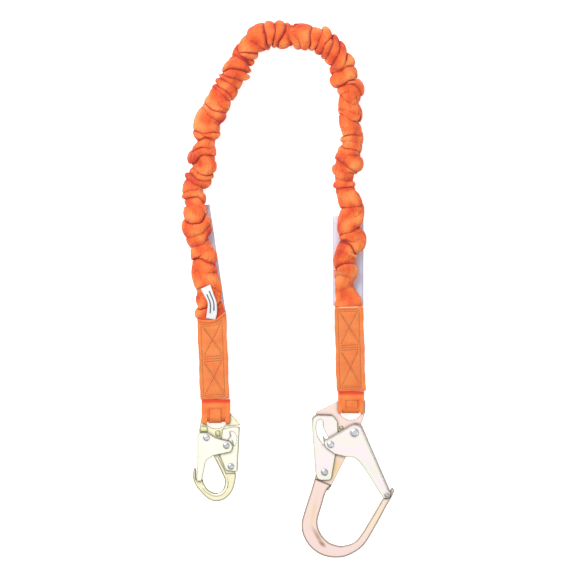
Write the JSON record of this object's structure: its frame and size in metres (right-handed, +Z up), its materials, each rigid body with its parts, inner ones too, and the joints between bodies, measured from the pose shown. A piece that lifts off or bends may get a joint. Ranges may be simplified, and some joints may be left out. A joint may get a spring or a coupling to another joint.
{
  "type": "shock absorbing lanyard",
  "caption": "Single-leg shock absorbing lanyard: gathered stretch webbing between a locking snap hook and a locking rebar hook.",
  "frame": {"origin": "on the floor that the lanyard lies on, under the middle of its hooks, sleeves and labels", "axes": "+Y from the hooks towards the bend of the webbing, +Z up from the floor, +X towards the rebar hook's side"},
  "size_m": [0.296, 0.7514, 0.0269],
  "materials": {
    "webbing": "woven polyester, matte",
    "core_cloth": "woven",
    "elastic": "woven elastic",
    "label_film": "satin film",
    "tag_cloth": "coated cloth",
    "yellow_zinc": "yellow zinc plated",
    "forged_gold": "plated forging, satin",
    "rivet_steel": "satin",
    "spring_steel": "satin"
  },
  "bodies": {
    "webbing": {"outer_jacket": "webbing", "shock_core_strap": "core_cloth", "elastic_band_1": "elastic", "elastic_band_2": "elastic", "snap_end_sleeve": "webbing", "snap_end_loop": "webbing", "snap_wear_pad": "webbing", "rebar_end_sleeve": "webbing", "rebar_end_loop": "webbing", "rebar_wear_pad": "webbing", "snap_label_pack": "label_film", "rebar_label_pack": "label_film", "sewn_tag": "tag_cloth"},
    "snap_hook": {"snap_hook_body": "yellow_zinc", "snap_gate_rivet": "rivet_steel", "snap_lock_rivet": "rivet_steel", "snap_gate_spring": "spring_steel", "snap_lock_spring": "spring_steel"},
    "snap_gate": {"snap_gate": "yellow_zinc", "snap_lock_pin": "rivet_steel"},
    "snap_lock": {"snap_lock_lever": "yellow_zinc"},
    "rebar_hook": {"rebar_hook_body": "forged_gold", "rebar_gate_rivet": "rivet_steel", "rebar_lock_rivet": "rivet_steel", "rebar_gate_spring": "spring_steel", "rebar_lock_spring": "spring_steel"},
    "rebar_gate": {"rebar_gate": "yellow_zinc", "rebar_lock_pin": "rivet_steel", "rebar_nose_rivet": "rivet_steel"},
    "rebar_lock": {"rebar_lock_lever": "yellow_zinc"}
  },
  "joints": [
    {"name": "snap_hook_swing", "type": "hinge", "parent": "webbing", "child": "snap_hook", "pos_m": [-0.10456, -0.03861, 0.0102], "axis": [-1, 0, 0], "range_deg": [0, 110]},
    {"name": "snap_gate_hinge", "type": "hinge", "parent": "snap_hook", "child": "snap_gate", "pos_m": [-0.11816, -0.0791, 0.0102], "axis": [0, 0, 1], "range_deg": [0, 20], "stiffness_Nm_per_rad": 0.4, "springref_deg": -28.65},
    {"name": "snap_lock_hinge", "type": "hinge", "parent": "snap_hook", "child": "snap_lock", "pos_m": [-0.08396, -0.1194, 0.0102], "axis": [0, 0, 1], "range_deg": [0, 8], "stiffness_Nm_per_rad": 0.15, "springref_deg": -22.92},
    {"name": "rebar_hook_swing", "type": "hinge", "parent": "webbing", "child": "rebar_hook", "pos_m": [0.08314, -0.0267, 0.0102], "axis": [-1, 0, 0], "range_deg": [0, 110]},
    {"name": "rebar_gate_hinge", "type": "hinge", "parent": "rebar_hook", "child": "rebar_gate", "pos_m": [0.08864, -0.0719, 0.0102], "axis": [0, 0, -1], "range_deg": [0, 38], "stiffness_Nm_per_rad": 0.5, "springref_deg": -28.65},
    {"name": "rebar_lock_hinge", "type": "hinge", "parent": "rebar_hook", "child": "rebar_lock", "pos_m": [0.04664, -0.1274, 0.0102], "axis": [0, 0, -1], "range_deg": [0, 9], "stiffness_Nm_per_rad": 0.2, "springref_deg": -22.92}
  ],
  "couplings": [
    {"joint": "snap_lock_hinge", "follows": "snap_gate_hinge", "ratio": 0.4},
    {"joint": "rebar_lock_hinge", "follows": "rebar_gate_hinge", "ratio": 0.2368}
  ]
}
